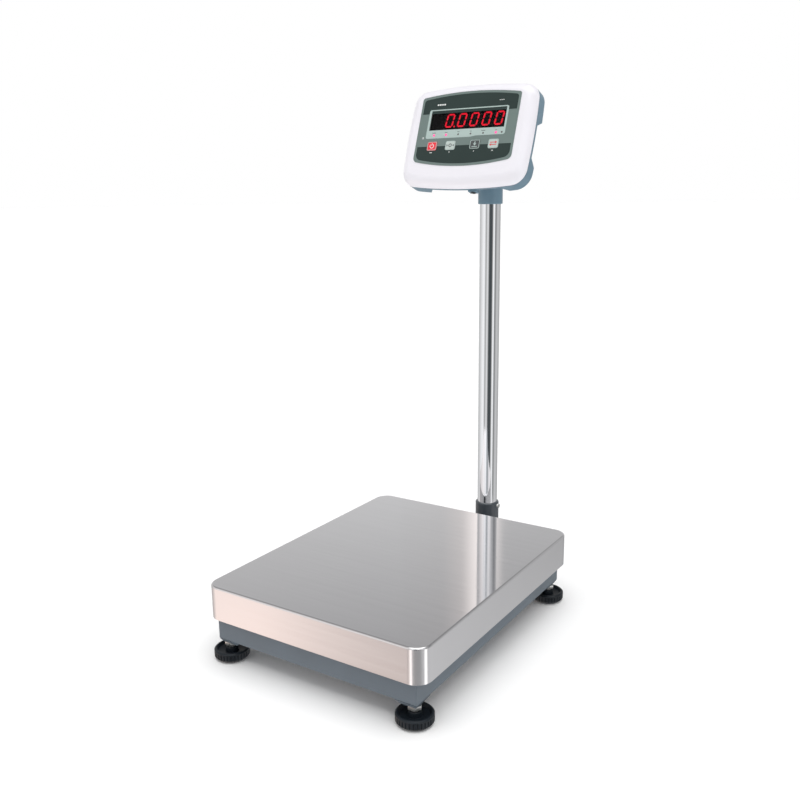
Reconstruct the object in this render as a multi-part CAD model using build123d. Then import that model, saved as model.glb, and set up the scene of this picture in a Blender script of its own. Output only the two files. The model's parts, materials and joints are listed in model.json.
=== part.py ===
from build123d import *
import os
from math import atan2, cos, degrees, pi, radians, sin, tan

# Bench scale: levelling base frame, single-point load cell, lift-off platter,
# rear column and a tilting display head. Millimetres, +Z up, +Y to the rear.
# Every sub-part is drawn about the middle of the platter, on the floor, and
# save() then moves it so that the origin is the middle of the overall footprint.

# Platter
platter_width = 400
platter_depth = 500
platter_top = 126
platter_skirt = 55
platter_sheet = 1.5
platter_corner_r = 25
platter_edge_r = 3
rib_depth = 7.5
rib_width = 40
rib_y = 120

# Base frame
frame_width = 368
frame_depth = 480
rail_low = 34
rail_height = 46
rail_width = 25
rail_wall = 2
rail_edge_r = 1.5
corner_size = 37
corner_drop = 6
corner_bevel = 4
corner_boss_r = 9
corner_boss_height = 12
cross_beam_width = 70
cross_beam_height = 25

# Levelling feet
foot_x = 172
foot_y = 226
foot_r = 28
foot_height = 17
foot_rib_count = 32
foot_rib_r = 2.1
foot_rib_proud = 0.3
foot_hub_r = 9.5
foot_hub_top = 19
foot_band = 3
stud_r = 6
stud_top = 53
locknut_height = 6
locknut_flats = 19

# Load cell and load frame
cell_length = 150
cell_width = 38
cell_height = 28
cell_hole_r = 9
cell_hole_x = 24
spacer_length = 50
spacer_height = 4
spider_x = 130
spider_length = 456
spider_width = 30
spider_height = 20
spider_beam_width = 60
cell_bolt_r = 4
cell_bolt_x = (37, 63)
cell_bolt_y = 11
pad_r = 14
pad_y = 195
stop_y = 227.5
stop_gap = 1
stop_flats = 13

# Column and its bracket
column_y = 320
column_r = 19
column_wall = 2
column_top = 724.7
socket_r = 22.5
socket_top = 127
socket_flange_r = 37
socket_flange_height = 6
socket_bolt_circle_r = 30
bracket_width = 110
bracket_reach = 40
bracket_plate = 6
bracket_flange = 5
bracket_high = 67
clamp_z = 120

# Swivel collar and tilt joint
collar_r = 22.25
collar_low = 697
collar_height = 40
collar_cap = 12
yoke_plate = 6
ear_thickness = 6
ear_r = 15
pivot_z = 766
pivot_r = 5
arm_thickness = 20

# Display head, drawn face up about the middle of its face, +Z out of the face
head_tilt = 20
face_ahead = 97
face_z = 816.2
head_width = 243
head_height = 185
head_bow_x = 3.5
head_bow_y = 8
head_corner_r = 28
shoulder = ((0, 17), (0.9, 13), (3.4, 8), (7.5, 3.7), (12, 1.1), (16, 0))
cover_depth = 17
head_wall = 2.5
gasket_height = 0.8
rim_depth = 5
boss_depth = 16.3
boss_slope = 11
tub_depth = 30
tub_inset = 24
tub_corner_r = 14
boss_inner_x = (-59, 72)
boss_low_y = -39
boss_high_y = 16.5
overlay_half = 95
overlay_low = -47.5
overlay_high = 67.5
overlay_low_bow = 10
overlay_high_bow = 7.4
overlay_low_r = 9
overlay_high_r = 4.5
overlay_thickness = 0.6
window_width = 145
window_height = 35.4
window_y = 25.4
digit_count = 6
digit_pitch = 23.7
digit_height = 24.5
digit_width = 15.4
digit_stroke = 2.8
digit_slant = 8
digit_gap = 0.5
digit_thickness = 0.4
module_front = -3.2
module_height = 34
lamp_r = 1.6
lamp_y = -1.4
lamp_x = (-60.8, -36.8, -12.8, 11.2, 35.2, 59.2, 70)
key_x = {"power": -61, "zero": -24.5, "tare": 23, "mode": 58}
key_y = -20.7
key_width = 19
key_height = 16
key_proud = 0.5
key_corner_r = 3
switch_gap = 0.7
board_z = -8
board_thickness = 1.6
screw_x = 102
screw_y = (-70, 70)
screw_r = 2
screw_tip = -12.5
post_r = 4.5
connector_x = 62
connector_y = -40
jack_x = 20
jack_pod_half = 8
jack_pod_depth = 11
jack_pod_proud = 2
arm_plate_half = 40

# Fits
running = 0.05
loose = 0.3

# Worked out from the above
rail_high = rail_low + rail_height
corner_low = rail_low - corner_drop
cross_beam_top = rail_low + cross_beam_height
cell_low = cross_beam_top + spacer_height
cell_high = cell_low + cell_height
spider_low = cell_high + spacer_height
spider_high = spider_low + spider_height
platter_under = platter_top - platter_sheet
frame_rear = frame_depth / 2
bracket_rear = column_y + bracket_reach
origin_shift = (bracket_rear - (foot_y + foot_r)) / 2
shelf_low = rail_low + 2
shelf_high = shelf_low + bracket_plate
collar_high = collar_low + collar_height
housing_front = -cover_depth - gasket_height
rim_back = housing_front - rim_depth
jack_out = rim_back - jack_pod_depth / 2
jack_edge = -head_height / 2 - jack_pod_proud
boss_back = rim_back - boss_depth
tub_back = rim_back - tub_depth
face_centre = Vector(0, column_y - face_ahead, face_z)
face_normal = Vector(0, -cos(radians(head_tilt)), sin(radians(head_tilt)))
head_place = Plane(origin=face_centre, x_dir=(1, 0, 0), z_dir=face_normal).location
pivot_offset = Vector(0, column_y, pivot_z) - face_centre
pivot_out = pivot_offset.dot(face_normal)
pivot_up = pivot_offset.dot(Vector(0, sin(radians(head_tilt)), cos(radians(head_tilt))))


def slab(x_limits, y_limits, z_limits):
    """A plain block between pairs of limits."""
    limits = (x_limits, y_limits, z_limits)
    size = [high - low for low, high in limits]
    middle = [(high + low) / 2 for low, high in limits]
    return Pos(*middle) * Box(*size)


def rod(radius, low, high, x=0, y=0):
    """A plain upright cylinder."""
    return Pos(x, y, (low + high) / 2) * Cylinder(radius, high - low)


def cross_rod(radius, low, high, y, z):
    """A plain cylinder along X."""
    return Pos((low + high) / 2, y, z) * Rot(0, 90, 0) * Cylinder(radius, high - low)


def rear_rod(radius, low, high, x, z):
    """A plain cylinder along Y."""
    return Pos(x, (low + high) / 2, z) * Rot(90, 0, 0) * Cylinder(radius, high - low)


def hexagon(flats, low, high, x=0, y=0):
    """An upright hexagonal prism, measured across its flats."""
    prism = extrude(RegularPolygon(flats / 2, 6, major_radius=False), high - low)
    return Pos(x, y, low) * prism


def rounded_slab(width, height, radius, low, high):
    """An upright prism with a rounded rectangle for its plan."""
    return Pos(0, 0, low) * extrude(RectangleRounded(width, height, radius), high - low)


def group(shapes):
    """Separate solids kept together as one node."""
    return Compound([solid for shape in shapes for solid in shape.solids()])


def four(x, y):
    """The four points of a rectangle about the middle."""
    return [(side * x, end * y) for side in (-1, 1) for end in (-1, 1)]


def box_tube(plane, length, width, height, wall, radius):
    """A rectangular hollow section along the plane's normal."""
    outer = RectangleRounded(width, height, radius)
    inner = Rectangle(width - 2 * wall, height - 2 * wall)
    return extrude(plane * (outer - inner), length / 2, both=True)


def save(name, shape):
    """Move a sub-part into the shared frame and write it."""
    export_step(Pos(0, -origin_shift, 0) * shape, f"parts/{name}.step")


# ---------------------------------------------------------------- platter

def platter():
    """An inverted pan of folded sheet."""
    low = platter_top - platter_skirt
    outer = rounded_slab(platter_width, platter_depth, platter_corner_r, low, platter_top)
    outer = fillet(outer.faces().sort_by(Axis.Z)[-1].edges(), platter_edge_r)
    inner = rounded_slab(
        platter_width - 2 * platter_sheet,
        platter_depth - 2 * platter_sheet,
        platter_corner_r - platter_sheet,
        low,
        platter_under,
    )
    inner = fillet(inner.faces().sort_by(Axis.Z)[-1].edges(), platter_edge_r - platter_sheet)
    return outer - inner


def platter_ribs():
    """Two shallow channels welded under the platter."""
    half = platter_width / 2 - 20
    ribs = []
    for y in (-rib_y, rib_y):
        limits = (y - rib_width / 2, y + rib_width / 2)
        inside = (limits[0] + platter_sheet, limits[1] - platter_sheet)
        channel = slab((-half, half), limits, (platter_under - rib_depth, platter_under))
        channel -= slab((-half, half), inside, (platter_under - rib_depth + platter_sheet, platter_under))
        ribs.append(channel)
    return group(ribs)


# ---------------------------------------------------------------- base frame

def foot_holes():
    """Clearance for the corner bosses through the rails' lower walls."""
    return [rod(corner_boss_r + running, rail_low - 1, rail_low + 8, x, y) for x, y in four(foot_x, foot_y)]


def end_rail(end):
    """The front or rear rail, mitred at both ends."""
    outer = end * frame_rear
    inner = end * (frame_rear - rail_width)
    tube = box_tube(Plane.YZ, frame_width, rail_width, rail_height, rail_wall, rail_edge_r)
    rail = Pos(0, (outer + inner) / 2, rail_low + rail_height / 2) * tube
    reach = frame_width / 2
    inner_reach = reach - rail_width
    rail &= mitre([(-reach, outer), (reach, outer), (inner_reach, inner), (-inner_reach, inner)])
    for x in (-spider_x, spider_x):
        rail -= rod(cell_bolt_r + running, rail_high - 5, rail_high + 1, x, end * stop_y)
    if end > 0:
        for x, z in bracket_bolt_places():
            rail -= rear_rod(3 + running, frame_rear - 5, frame_rear + 1, x, z)
    for hole in foot_holes():
        rail -= hole
    return rail


def side_rail(side):
    """The left or right rail, mitred at both ends."""
    outer = side * frame_width / 2
    inner = side * (frame_width / 2 - rail_width)
    tube = box_tube(Plane.XZ, frame_depth, rail_width, rail_height, rail_wall, rail_edge_r)
    rail = Pos((outer + inner) / 2, 0, rail_low + rail_height / 2) * tube
    inner_reach = frame_rear - rail_width
    rail &= mitre([(outer, -frame_rear), (outer, frame_rear), (inner, inner_reach), (inner, -inner_reach)])
    for hole in foot_holes():
        rail -= hole
    return rail


def mitre(points):
    """A tall prism that trims a rail to the diagonals at its two ends."""
    return Pos(0, 0, rail_low) * extrude(make_face(Polyline(*points, close=True)), rail_height)


def base_cross_beam():
    """The beam that carries the load cell's fixed end."""
    length = frame_width - 2 * rail_width
    tube = box_tube(Plane.YZ, length, cross_beam_width, cross_beam_height, rail_wall + 0.5, rail_edge_r)
    beam = Pos(0, 0, rail_low + cross_beam_height / 2) * tube
    for x in cell_bolt_x:
        for y in (-cell_bolt_y, cell_bolt_y):
            beam -= rod(cell_bolt_r + running, rail_low - 1, cross_beam_top + 1, -x, y)
    return beam


def corner_plates():
    """Bevelled plates under the mitred corners, each with a tapped boss."""
    plates = []
    for x, y in four((frame_width - corner_size) / 2, (frame_depth - corner_size) / 2):
        outline = RectangleRounded(corner_size, corner_size, rail_edge_r)
        sole_size = corner_size - 2 * corner_bevel
        sole = RectangleRounded(sole_size, sole_size, rail_edge_r / 2)
        plate = loft([Pos(0, 0, corner_low) * sole, Pos(0, 0, rail_low) * outline], ruled=True)
        hub_x = foot_x * (1 if x > 0 else -1)
        hub_y = foot_y * (1 if y > 0 else -1)
        plate = Pos(x, y) * plate + rod(corner_boss_r, rail_low, rail_low + corner_boss_height, hub_x, hub_y)
        plates.append(plate - rod(stud_r + running, corner_low - 1, rail_high, hub_x, hub_y))
    return group(plates)


def foot_locknuts():
    """Thin nuts that lock the levelling studs under the corner blocks."""
    nuts = []
    for x, y in four(foot_x, foot_y):
        nut = hexagon(locknut_flats, corner_low - locknut_height, corner_low, x, y)
        nuts.append(nut - rod(stud_r + running, corner_low - locknut_height, corner_low, x, y))
    return group(nuts)


def overload_stops():
    """Hex-headed stop screws, one under each end of the load frame."""
    stops = []
    for x, y in four(spider_x, stop_y):
        head_top = spider_low - stop_gap
        head = hexagon(stop_flats, head_top - 5.5, head_top, x, y)
        stops.append(head + rod(cell_bolt_r, rail_high - 8, head_top - 5.5, x, y))
    return group(stops)


def overload_nuts():
    """Nuts that lock the stop screws on the rails."""
    nuts = []
    for x, y in four(spider_x, stop_y):
        nut = hexagon(stop_flats, rail_high, rail_high + 6, x, y)
        nuts.append(nut - rod(cell_bolt_r + running, rail_high, rail_high + 6, x, y))
    return group(nuts)


# ---------------------------------------------------------------- feet

def foot_wheel():
    """A ribbed levelling wheel with a dished top and a bevelled bottom."""
    with BuildPart() as turned:
        with BuildSketch(Plane.XZ):
            with BuildLine():
                Polyline(
                    (0, 0),
                    (foot_r - 5, 0),
                    (foot_r, 5),
                    (foot_r, foot_height - 2),
                    (foot_r - 2, foot_height),
                    (foot_r - 4, foot_height),
                    (foot_r - 6.5, foot_height - 4.5),
                    (foot_hub_r + 1, foot_height - 6),
                    (foot_hub_r, foot_hub_top - 1),
                    (foot_hub_r - 1, foot_hub_top),
                    (stud_r + running, foot_hub_top),
                    (stud_r + running, 3.5),
                    (0, 3.5),
                    (0, 0),
                )
            make_face()
        revolve(axis=Axis.Z)
    reach = foot_r - foot_rib_r + foot_rib_proud
    prism = rod(foot_r - foot_rib_r * 0.75, 0, foot_hub_top)
    prism += rod(foot_r + 1, foot_height - foot_band, foot_height)
    for step in range(foot_rib_count):
        angle = 2 * pi * step / foot_rib_count
        prism += rod(foot_rib_r, 0, foot_height - foot_band, reach * cos(angle), reach * sin(angle))
    return turned.part & prism


def foot_stud():
    """A plain threaded stud with a bevelled tip."""
    stud = rod(stud_r, 4, stud_top)
    return chamfer(stud.edges().sort_by(Axis.Z)[-1], 1.2)


# ---------------------------------------------------------------- load cell

def load_cell():
    """An aluminium single-point bending beam with a double-hole flexure."""
    half = cell_length / 2
    cell = slab((-half, half), (-cell_width / 2, cell_width / 2), (cell_low, cell_high))
    middle = (cell_low + cell_high) / 2
    for x in (-cell_hole_x, cell_hole_x):
        cell -= rear_rod(cell_hole_r, -cell_width, cell_width, x, middle)
    cell -= slab((-cell_hole_x, cell_hole_x), (-cell_width, cell_width), (middle - 2, middle + 2))
    for x in cell_bolt_x:
        for y in (-cell_bolt_y, cell_bolt_y):
            cell -= rod(cell_bolt_r + running, cell_low - 1, cell_low + 15, -x, y)
            cell -= rod(cell_bolt_r + running, cell_high - 15, cell_high + 1, x, y)
    return cell


def cell_spacer(side, low):
    """A plate that lifts the load cell clear of a beam."""
    half = cell_length / 2
    x_limits = sorted((side * half, side * (half - spacer_length)))
    plate = slab(x_limits, (-cell_width / 2, cell_width / 2), (low, low + spacer_height))
    for x in cell_bolt_x:
        for y in (-cell_bolt_y, cell_bolt_y):
            plate -= rod(cell_bolt_r + running, low - 1, low + spacer_height + 1, side * x, y)
    return plate


def cell_bolts(side, head_low, head_high, tip):
    """Four hex bolts through a beam and a spacer into the load cell."""
    bolts = []
    shank = sorted((head_high, tip)) if tip > head_high else sorted((head_low, tip))
    for x in cell_bolt_x:
        for y in (-cell_bolt_y, cell_bolt_y):
            head = hexagon(stop_flats, head_low, head_high, side * x, y)
            bolts.append(head + rod(cell_bolt_r, *shank, side * x, y))
    return group(bolts)


def spider_arm(side):
    """A side member of the load frame, front to rear."""
    tube = box_tube(Plane.XZ, spider_length, spider_width, spider_height, rail_wall, rail_edge_r)
    return Pos(side * spider_x, 0, spider_low + spider_height / 2) * tube


def spider_cross_beam():
    """The middle member of the load frame, bolted on the load cell."""
    length = 2 * spider_x - spider_width
    tube = box_tube(Plane.YZ, length, spider_beam_width, spider_height, rail_wall, rail_edge_r)
    beam = Pos(0, 0, spider_low + spider_height / 2) * tube
    for x in cell_bolt_x:
        for y in (-cell_bolt_y, cell_bolt_y):
            beam -= rod(cell_bolt_r + running, spider_low - 1, spider_high + 1, x, y)
    return beam


def platter_pads():
    """Rubber pads that the platter rests on."""
    pads = []
    for x, y in four(spider_x, pad_y):
        pad = rod(pad_r, spider_high, platter_under - loose, x, y)
        pads.append(chamfer(pad.edges().sort_by(Axis.Z)[-1], 1.5))
    return group(pads)


# ---------------------------------------------------------------- column

def bracket_bolt_places():
    """Centres of the bracket's bolts on the rear rail, as (x, z)."""
    return [(x, z) for x in (-38, 38) for z in (rail_low + 14, rail_low + 27)]


def column_bracket():
    """A gusseted shelf bolted behind the rear rail."""
    half = bracket_width / 2
    shelf = slab((-half, half), (frame_rear, bracket_rear), (shelf_low, shelf_high))
    rear_edges = shelf.edges().filter_by(Axis.Z).group_by(Axis.Y)[-1]
    shelf = fillet(rear_edges, 25)
    upright = slab((-half, half), (frame_rear, frame_rear + bracket_flange), (shelf_low, bracket_high))
    side_view = Polygon(
        (frame_rear, shelf_low + 1),
        (frame_rear + 60, shelf_low + 1),
        (frame_rear + 60, shelf_high),
        (frame_rear + bracket_flange, bracket_high),
        (frame_rear, bracket_high),
        align=None,
    )
    bracket = shelf + upright
    for x in (-half, half - 4):
        bracket += Pos(x, 0, 0) * extrude(Plane.YZ * side_view, 4)
    for x, z in bracket_bolt_places():
        bracket -= rear_rod(3 + running, frame_rear - 1, frame_rear + bracket_flange + 1, x, z)
    for x, y in socket_bolt_places():
        bracket -= rod(3 + running, shelf_low - 1, shelf_high + 1, x, y)
    return bracket - rod(8, shelf_low - 1, shelf_high + 1, 0, column_y)


def socket_bolt_places():
    """Centres of the socket's bolts on the shelf, as (x, y)."""
    reach = socket_bolt_circle_r * cos(pi / 4)
    return [(x, column_y + y) for x, y in four(reach, reach)]


def bracket_bolts():
    """Button-headed bolts that hold the bracket to the rail and the socket to the shelf."""
    bolts = []
    for x, z in bracket_bolt_places():
        face = frame_rear + bracket_flange
        head = rear_rod(5.5, face, face + 3.3, x, z) - rear_rod(2, face + 1.3, face + 4, x, z)
        bolts.append(head + rear_rod(3, frame_rear - 8, face, x, z))
    top = shelf_high + socket_flange_height
    for x, y in socket_bolt_places():
        head = rod(5.5, top, top + 3.3, x, y) - rod(2, top + 1.3, top + 4, x, y)
        bolts.append(head + rod(3, shelf_low - 1, top, x, y))
    return group(bolts)


def column_socket():
    """A flanged tube that holds the foot of the column."""
    barrel = rod(socket_r, shelf_high, socket_top, 0, column_y)
    barrel = fillet(barrel.edges().sort_by(Axis.Z)[-1], 2)
    flange = rod(socket_flange_r, shelf_high, shelf_high + socket_flange_height, 0, column_y)
    flange = chamfer(flange.edges().sort_by(Axis.Z)[-1], 1.5)
    socket = barrel + flange
    socket -= rod(column_r + running, shelf_high, socket_top, 0, column_y)
    for x, y in socket_bolt_places():
        socket -= rod(3 + running, shelf_high, shelf_high + 10, x, y)
    socket -= cross_rod(3 + running, column_r, socket_r + 2, column_y, clamp_z)
    return socket - cross_rod(4.5 + running, socket_r - 0.3, socket_r + 2, column_y, clamp_z)


def clamp_screw():
    """A cap screw that pins the column in its socket."""
    face = socket_r - 0.3
    head = cross_rod(4.5, face, face + 3.5, column_y, clamp_z)
    head -= cross_rod(2, face + 1.5, face + 4, column_y, clamp_z)
    return head + cross_rod(3, column_r + running, face, column_y, clamp_z)


def column_tube():
    """The plated column."""
    tube = rod(column_r, shelf_high, column_top, 0, column_y)
    return tube - rod(column_r - column_wall, shelf_high, column_top, 0, column_y)


def bubble_level_housing():
    """The seat of the round spirit level on the bracket's shelf."""
    seat = rod(10, shelf_high, shelf_high + 9, -38, column_y - 50)
    return seat - rod(7.5, shelf_high + 2, shelf_high + 9, -38, column_y - 50)


def bubble_level_vial():
    """The filled vial of the spirit level."""
    vial = rod(7.5 - running, shelf_high + 2, shelf_high + 9.5, -38, column_y - 50)
    return chamfer(vial.edges().sort_by(Axis.Z)[-1], 0.8)


# ---------------------------------------------------------------- swivel and tilt

def column_collar():
    """The cap that turns on top of the column."""
    collar = rod(collar_r, collar_low, collar_high, 0, column_y)
    collar = chamfer(collar.edges().sort_by(Axis.Z)[0], 0.8)
    collar -= rod(column_r + running, collar_low, collar_high - collar_cap, 0, column_y)
    return collar - rear_rod(2 + running, column_y, column_y + collar_r + 1, 0, collar_low + 12)


def collar_screw():
    """A grub screw that sets how stiffly the collar turns."""
    tip = column_y + column_r + loose
    screw = rear_rod(2, tip, column_y + collar_r - 0.5, 0, collar_low + 12)
    return screw - rear_rod(1, tip + 1.2, column_y + collar_r, 0, collar_low + 12)


def tilt_yoke():
    """Two ears on the collar that carry the tilt pin."""
    yoke = rod(collar_r, collar_high, collar_high + yoke_plate, 0, column_y)
    near = arm_thickness / 2 + loose
    for side in (-1, 1):
        x_limits = sorted((side * near, side * (near + ear_thickness)))
        yoke += slab(x_limits, (column_y - ear_r, column_y + ear_r), (collar_high, pivot_z))
        yoke += cross_rod(ear_r, *x_limits, column_y, pivot_z)
    reach = near + ear_thickness + 1
    return yoke - cross_rod(pivot_r + running, -reach, reach, column_y, pivot_z)


def tilt_pin():
    """The shouldered pin through the yoke and the head's arm."""
    outer = arm_thickness / 2 + loose + ear_thickness
    pin = cross_rod(pivot_r, -outer, outer, column_y, pivot_z)
    pin += cross_rod(8, outer, outer + 5, column_y, pivot_z)
    return pin + cross_rod(8, -outer - 5, -outer, column_y, pivot_z)


def head_arm():
    """A plate and an eye that hang the head on the tilt pin."""
    half = arm_plate_half
    low = pivot_up - 25
    high = pivot_up + 25
    plate = slab((-half, half), (low, high), (tub_back - 4, tub_back))
    plate = fillet(plate.edges().filter_by(Axis.Z), 6)
    side_view = Polygon(
        (pivot_up - 22, tub_back - 3),
        (pivot_up + 22, tub_back - 3),
        (pivot_up + 14.6, pivot_out + 3.5),
        (pivot_up + 14.6, pivot_out),
        (pivot_up - 14.6, pivot_out),
        (pivot_up - 14.6, pivot_out + 3.5),
        align=None,
    )
    web = extrude(Plane.YZ * side_view, arm_thickness / 2, both=True)
    eye = cross_rod(ear_r, -arm_thickness / 2, arm_thickness / 2, pivot_up, pivot_out)
    arm = plate + web + eye
    arm -= cross_rod(pivot_r + running, -half, half, pivot_up, pivot_out)
    for x, y in arm_bolt_places():
        arm -= rod(2.5 + running, tub_back - 5, tub_back, x, y)
    return arm


def arm_bolt_places():
    """Centres of the arm's bolts on the back of the head."""
    return [(x, pivot_up + y) for x, y in four(30, 15)]


def arm_bolts():
    """Button-headed bolts that hold the arm to the rear housing."""
    bolts = []
    for x, y in arm_bolt_places():
        face = tub_back - 4
        head = rod(4.5, face - 2.8, face, x, y) - rod(1.6, face - 3, face - 1.2, x, y)
        bolts.append(head + rod(2.5, face, tub_back + 7, x, y))
    return group(bolts)


# ---------------------------------------------------------------- display head

def bowed(inset=0):
    """The head's outline: a rectangle with slightly crowned sides and round corners."""
    x = head_width / 2 - inset
    y = head_height / 2 - inset
    corners = [(-x + head_bow_x, -y + head_bow_y), (x - head_bow_x, -y + head_bow_y)]
    corners += [(x - head_bow_x, y - head_bow_y), (-x + head_bow_x, y - head_bow_y)]
    crowns = [(0, -y), (x, 0), (0, y), (-x, 0)]
    sides = [ThreePointArc(corners[i], crowns[i], corners[(i + 1) % 4]) for i in range(4)]
    outline = make_face(Curve() + sides)
    return fillet(outline.vertices(), head_corner_r - inset)


def dome(wall):
    """The solid under the cover's outer skin, or under its inner skin, one wall further in."""
    sections = []
    for inset, depth in shoulder:
        drop = depth + wall if depth < cover_depth else depth
        sections.append(Pos(0, 0, -drop) * bowed(inset + wall))
    return loft(sections)


def front_cover():
    """The moulded front shell with its window, lamp and key openings."""
    cover = dome(0) - dome(head_wall)
    cover -= Pos(0, window_y, -head_wall / 2) * Box(window_width, window_height, 2 * head_wall)
    for x in lamp_x:
        cover -= rod(lamp_r + running, -2 * head_wall, 1, x, lamp_y)
    for x in key_x.values():
        cover -= Pos(x, key_y, 0) * Box(key_width + 2 * loose, key_height + 2 * loose, 3 * head_wall)
    for x in (-screw_x, screw_x):
        for y in screw_y:
            cover += rod(post_r, rim_back + head_wall + loose, -head_wall * 3, x, y)
            cover -= rod(screw_r + running, rim_back, screw_tip + 1, x, y)
    return cover


def housing_gasket():
    """The seal between the two shells."""
    band = bowed(0.5) - bowed(head_wall)
    return Pos(0, 0, housing_front) * extrude(band, gasket_height)


def rear_housing():
    """The rear tray: a thin rim, four deeper corners, a tub and a pod for the charger's socket."""
    outline = Pos(0, 0, boss_back) * extrude(bowed(), boss_depth)
    side_gap = Polygon(
        (boss_low_y - boss_slope, boss_back),
        (boss_low_y, rim_back),
        (boss_high_y, rim_back),
        (boss_high_y + boss_slope, boss_back),
        align=None,
    )
    left, right = boss_inner_x
    end_gap = Polygon(
        (left - boss_slope, boss_back),
        (left, rim_back),
        (right, rim_back),
        (right + boss_slope, boss_back),
        align=None,
    )
    corners = outline - extrude(Plane.YZ * side_gap, head_width, both=True)
    corners -= extrude(Plane.XZ * end_gap, head_height, both=True)
    rim = Pos(0, 0, rim_back) * extrude(bowed(), rim_depth)
    tub_width = head_width - 2 * tub_inset
    tub_height = head_height - 2 * tub_inset
    tub = rounded_slab(tub_width, tub_height, tub_corner_r, tub_back, rim_back)
    tub = fillet(tub.faces().sort_by(Axis.Z)[0].edges(), 3)
    pod_sides = (jack_x - jack_pod_half, jack_x + jack_pod_half)
    pod = slab(pod_sides, (jack_edge, -tub_height / 2), (rim_back - jack_pod_depth, rim_back))
    housing = corners + rim + tub + pod
    wall = head_wall
    housing -= Pos(0, 0, rim_back + wall) * extrude(bowed(wall), rim_depth - wall)
    inside = (tub_width - 2 * wall, tub_height - 2 * wall, tub_corner_r - wall)
    housing -= rounded_slab(*inside, tub_back + wall, rim_back + wall + loose)
    return housing - housing_holes()


def housing_holes():
    """Holes for the screws, the arm's bolts and the two sockets."""
    holes = []
    for x in (-screw_x, screw_x):
        for y in screw_y:
            holes.append(rod(screw_r + running, boss_back - 1, rim_back + 4, x, y))
            holes.append(rod(4.2, boss_back - 1, boss_back + 3.5, x, y))
    for x, y in arm_bolt_places():
        holes.append(rod(2.5 + running, tub_back - 1, tub_back + 4, x, y))
    holes.append(rod(8 + running, tub_back - 1, tub_back + 4, connector_x, connector_y))
    tub_inside = tub_inset + head_wall - head_height / 2
    holes.append(rear_rod(4 + running, jack_edge - 1, tub_inside + 1, jack_x, jack_out))
    return group(holes)


def housing_screws():
    """Screws that draw the rear housing to the front cover."""
    screws = []
    for x in (-screw_x, screw_x):
        for y in screw_y:
            head = rod(3.8, boss_back + 0.5, boss_back + 3.5, x, y)
            head -= Pos(x, y, boss_back + 0.8) * Box(5, 0.9, 1.6)
            head -= Pos(x, y, boss_back + 0.8) * Box(0.9, 5, 1.6)
            screws.append(head + rod(screw_r, boss_back + 3.5, screw_tip, x, y))
    return group(screws)


def cell_connector():
    """The round socket on the back that the load cell plugs into."""
    shell = rod(8, tub_back - 6, tub_back + 8, connector_x, connector_y)
    shell += rod(10, tub_back - 2, tub_back, connector_x, connector_y)
    return shell - rod(6.5, tub_back - 7, tub_back + 2, connector_x, connector_y)


def charge_jack():
    """The charger's socket in the bottom edge of the rear housing."""
    jack = rear_rod(4, jack_edge - 0.5, jack_edge + 13, jack_x, jack_out)
    jack += rear_rod(4.6, jack_edge - 1, jack_edge, jack_x, jack_out)
    return jack - rear_rod(2.9, jack_edge - 2, jack_edge + 9.5, jack_x, jack_out)


def overlay():
    """The printed film on the face, bowed at its top and bottom edges."""
    left_low = (-overlay_half, overlay_low)
    left_high = (-overlay_half, overlay_high)
    right_high = (overlay_half, overlay_high)
    right_low = (overlay_half, overlay_low)
    edges = [
        Line(left_low, left_high),
        ThreePointArc(left_high, (0, overlay_high + overlay_high_bow), right_high),
        Line(right_high, right_low),
        ThreePointArc(right_low, (0, overlay_low - overlay_low_bow), left_low),
    ]
    film = make_face(Curve() + edges)
    film = fillet(film.vertices().sort_by(Axis.Y)[:2], overlay_low_r)
    film = fillet(film.vertices().sort_by(Axis.Y)[-2:], overlay_high_r)
    film -= Pos(0, window_y) * Rectangle(window_width, window_height)
    for x in lamp_x:
        film -= Pos(x, lamp_y) * Circle(lamp_r + running)
    key_hole = RectangleRounded(key_width + 2 * loose, key_height + 2 * loose, key_corner_r + loose)
    for x in key_x.values():
        film -= Pos(x, key_y) * key_hole
    return extrude(film, overlay_thickness)


def display_window():
    """The smoked window over the digits."""
    low = -head_wall + 0.2
    middle = (low + overlay_thickness) / 2
    return Pos(0, window_y, middle) * Box(window_width - 0.2, window_height - 0.2, overlay_thickness - low)


def display_modules():
    """Six single-digit light modules in a row."""
    modules = []
    for place in range(digit_count):
        x = digit_pitch * (place - (digit_count - 1) / 2)
        sides = (x - digit_pitch / 2 + 0.2, x + digit_pitch / 2 - 0.2)
        ends = (window_y - module_height / 2, window_y + module_height / 2)
        modules.append(slab(sides, ends, (board_z + board_thickness, module_front)))
    return group(modules)


def segment(start, end):
    """One lit bar with pointed ends, between two corners of a digit."""
    run = end - start
    middle = (start + end) / 2
    half = run.length / 2 - digit_gap
    side = digit_stroke / 2
    outline = Polygon(
        (-half, 0),
        (-half + side, -side),
        (half - side, -side),
        (half, 0),
        (half - side, side),
        (-half + side, side),
        align=None,
    )
    turn = Rot(0, 0, degrees(atan2(run.Y, run.X)))
    return Pos(middle.X, middle.Y) * turn * extrude(outline, digit_thickness)


def zero_digit():
    """The six lit bars of a leaning nought, about its middle."""
    across = (digit_width - digit_stroke) / 2
    up = (digit_height - digit_stroke) / 2
    lean = up * tan(radians(digit_slant))
    ring = [Vector(-across - lean, -up), Vector(across - lean, -up), Vector(across, 0)]
    ring += [Vector(across + lean, up), Vector(lean - across, up), Vector(-across, 0)]
    return [segment(start, end) for start, end in zip(ring, ring[1:] + ring[:1])]


def display_digits():
    """The lit bars: five noughts and a decimal point, the first place dark."""
    bars = []
    for place in range(1, digit_count):
        x = digit_pitch * (place - (digit_count - 1) / 2)
        bars += [Pos(x, window_y, module_front) * bar for bar in zero_digit()]
    point_x = digit_pitch * (1.5 - (digit_count - 1) / 2) - 2
    point_y = window_y - digit_height / 2 + 1.5
    bars.append(rod(1.5, module_front, module_front + digit_thickness, point_x, point_y))
    return group(bars)


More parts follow.
